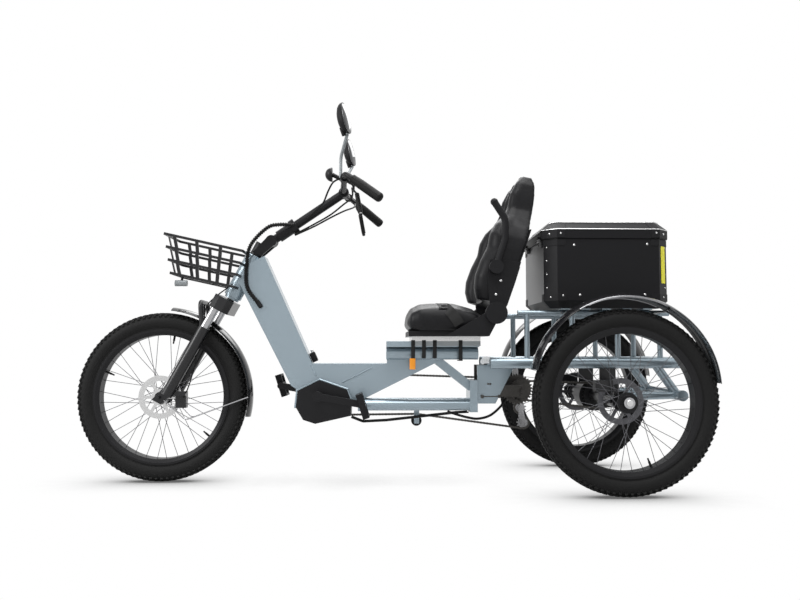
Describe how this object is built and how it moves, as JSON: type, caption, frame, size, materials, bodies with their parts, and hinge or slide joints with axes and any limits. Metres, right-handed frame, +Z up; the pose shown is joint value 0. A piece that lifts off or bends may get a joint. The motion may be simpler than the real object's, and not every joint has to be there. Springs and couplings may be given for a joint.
{
  "type": "cargo tricycle",
  "caption": "Electric-assist cargo tricycle with step-through frame, suspension fork, reclining bucket seat, front basket and lidded rear cargo box.",
  "frame": {"origin": "centre of the footprint box at ground level", "axes": "+X rearward, +Y to the rider's right, +Z up"},
  "size_m": [2.3472, 0.8, 1.4108],
  "materials": {
    "frame_paint": "satin",
    "black_metal": "satin",
    "black_alloy": "satin",
    "black_plastic": "matte",
    "bright_steel": "satin",
    "box_shell": "satin",
    "tyre_rubber": "matte",
    "soft_rubber": "matte",
    "seat_cover": "satin",
    "belt_web": "matte"
  },
  "bodies": {
    "frame": {"main_frame": "frame_paint", "bearings": "bright_steel", "battery_pack": "black_plastic", "motor_unit": "black_alloy", "rear_stays": "frame_paint", "jackshaft_bracket": "frame_paint", "rear_platform": "frame_paint", "axle_housing": "black_metal", "cargo_rack": "frame_paint", "rear_mudguards": "black_metal", "cargo_box": "box_shell", "basket": "black_metal", "headlight": "black_plastic", "seat_rail": "frame_paint", "drive_chain": "bright_steel", "axle_chain": "bright_steel", "derailleur": "bright_steel", "rear_calipers": "black_metal", "harness": "soft_rubber", "frame_cables": "soft_rubber"},
    "steerer": {"fork_crown": "black_metal", "stanchions": "bright_steel", "stem_base": "black_alloy"},
    "fork_lower": {"fork_lowers": "black_alloy", "front_mudguard": "black_metal", "front_caliper": "black_metal"},
    "front_wheel": {"front_tyre": "tyre_rubber", "front_rim": "black_alloy", "front_hub": "black_alloy"},
    "handlebar": {"stem_arm": "black_alloy", "handlebar": "black_alloy", "grips": "soft_rubber", "bar_controls": "black_alloy", "mirror_stalks": "bright_steel"},
    "left_lever": {"left_brake_lever": "black_alloy"},
    "right_lever": {"right_brake_lever": "black_alloy"},
    "left_mirror": {"left_mirror": "black_plastic"},
    "right_mirror": {"right_mirror": "black_plastic"},
    "crank": {"cranks": "black_alloy", "chainring": "bright_steel"},
    "left_pedal": {"left_pedal": "black_plastic"},
    "right_pedal": {"right_pedal": "black_plastic"},
    "jackshaft": {"jackshaft": "bright_steel"},
    "differential": {"differential": "black_alloy"},
    "idler": {"idler_roller": "black_plastic"},
    "left_wheel": {"left_tyre": "tyre_rubber", "left_rim": "black_alloy", "left_hub": "black_alloy"},
    "right_wheel": {"right_tyre": "tyre_rubber", "right_rim": "black_alloy", "right_hub": "black_alloy"},
    "seat": {"seat_carriage": "black_plastic", "seat_cushion": "seat_cover", "lap_belt": "belt_web"},
    "backrest": {"backrest_frame": "black_plastic", "back_cushion": "seat_cover"},
    "left_armrest": {"left_armrest": "black_plastic"},
    "right_armrest": {"right_armrest": "black_plastic"},
    "lid": {"box_lid": "box_shell"},
    "latch": {"box_latch": "bright_steel"}
  },
  "joints": [
    {"name": "steering", "type": "hinge", "parent": "frame", "child": "steerer", "pos_m": [-0.80914, 0, 0.30353], "axis": [0.4772, 0, 0.8788], "range_deg": [-35, 35], "deforming": ["harness"]},
    {"name": "fork_slide", "type": "slide", "parent": "steerer", "child": "fork_lower", "axis": [0.4772, 0, 0.8788], "range_m": [0, 0.04], "stiffness_N_per_m": 9000, "springref_m": -0.06},
    {"name": "front_wheel_spin", "type": "hinge", "parent": "fork_lower", "child": "front_wheel", "pos_m": [-0.84869, 0, 0.325], "axis": [0, 1, 0], "continuous": true},
    {"name": "stem_tilt", "type": "hinge", "parent": "steerer", "child": "handlebar", "pos_m": [-0.43533, 0, 0.93123], "axis": [0, 1, 0], "range_deg": [-25, 10], "deforming": ["harness"]},
    {"name": "left_brake", "type": "hinge", "parent": "handlebar", "child": "left_lever", "pos_m": [-0.10854, -0.18375, 1.11883], "axis": [0, -1, 0], "range_deg": [0, 18], "stiffness_Nm_per_rad": 2, "springref_deg": -28.65},
    {"name": "right_brake", "type": "hinge", "parent": "handlebar", "child": "right_lever", "pos_m": [-0.10854, 0.18375, 1.11883], "axis": [0, -1, 0], "range_deg": [0, 18], "stiffness_Nm_per_rad": 2, "springref_deg": -28.65},
    {"name": "left_mirror_turn", "type": "hinge", "parent": "handlebar", "child": "left_mirror", "pos_m": [-0.13054, -0.24575, 1.29883], "axis": [0, 0, 1], "range_deg": [-20, 20]},
    {"name": "right_mirror_turn", "type": "hinge", "parent": "handlebar", "child": "right_mirror", "pos_m": [-0.13054, 0.24575, 1.29883], "axis": [0, 0, 1], "range_deg": [-20, 20]},
    {"name": "crank_spin", "type": "hinge", "parent": "frame", "child": "crank", "pos_m": [-0.24169, 0, 0.33], "axis": [0, 1, 0], "continuous": true},
    {"name": "left_pedal_spin", "type": "hinge", "parent": "crank", "child": "left_pedal", "pos_m": [-0.0723, -0.17, 0.30013], "axis": [0, 1, 0], "continuous": true},
    {"name": "right_pedal_spin", "type": "hinge", "parent": "crank", "child": "right_pedal", "pos_m": [-0.41108, 0.17, 0.35987], "axis": [0, 1, 0], "continuous": true},
    {"name": "jackshaft_spin", "type": "hinge", "parent": "frame", "child": "jackshaft", "pos_m": [0.54131, 0, 0.347], "axis": [0, 1, 0], "continuous": true},
    {"name": "differential_spin", "type": "hinge", "parent": "frame", "child": "differential", "pos_m": [0.84131, 0, 0.325], "axis": [0, 1, 0], "continuous": true},
    {"name": "idler_spin", "type": "hinge", "parent": "frame", "child": "idler", "pos_m": [0.13631, 0, 0.223], "axis": [0, 1, 0], "continuous": true},
    {"name": "left_wheel_spin", "type": "hinge", "parent": "frame", "child": "left_wheel", "pos_m": [0.84131, -0.35, 0.325], "axis": [0, 1, 0], "continuous": true},
    {"name": "right_wheel_spin", "type": "hinge", "parent": "frame", "child": "right_wheel", "pos_m": [0.84131, 0.35, 0.325], "axis": [0, 1, 0], "continuous": true},
    {"name": "seat_slide", "type": "slide", "parent": "frame", "child": "seat", "axis": [1, 0, 0], "range_m": [-0.08, 0]},
    {"name": "backrest_fold", "type": "hinge", "parent": "seat", "child": "backrest", "pos_m": [0.41531, 0, 0.64], "axis": [0, -1, 0], "range_deg": [0, 15]},
    {"name": "left_armrest_fold", "type": "hinge", "parent": "backrest", "child": "left_armrest", "pos_m": [0.41631, -0.226, 0.809], "axis": [0, -1, 0], "range_deg": [-25, 90]},
    {"name": "right_armrest_fold", "type": "hinge", "parent": "backrest", "child": "right_armrest", "pos_m": [0.41631, 0.226, 0.809], "axis": [0, -1, 0], "range_deg": [0, 115]},
    {"name": "lid_hinge", "type": "hinge", "parent": "frame", "child": "lid", "pos_m": [0.59131, 0, 0.91615], "axis": [0, -1, 0], "range_deg": [0, 50]},
    {"name": "latch_turn", "type": "hinge", "parent": "lid", "child": "latch", "pos_m": [1.07431, 0, 0.9303], "axis": [0, -1, 0], "range_deg": [0, 100]}
  ],
  "couplings": [
    {"joint": "jackshaft_spin", "follows": "crank_spin", "ratio": 2},
    {"joint": "differential_spin", "follows": "crank_spin", "ratio": 1.5},
    {"joint": "idler_spin", "follows": "crank_spin", "ratio": -3.2935}
  ]
}
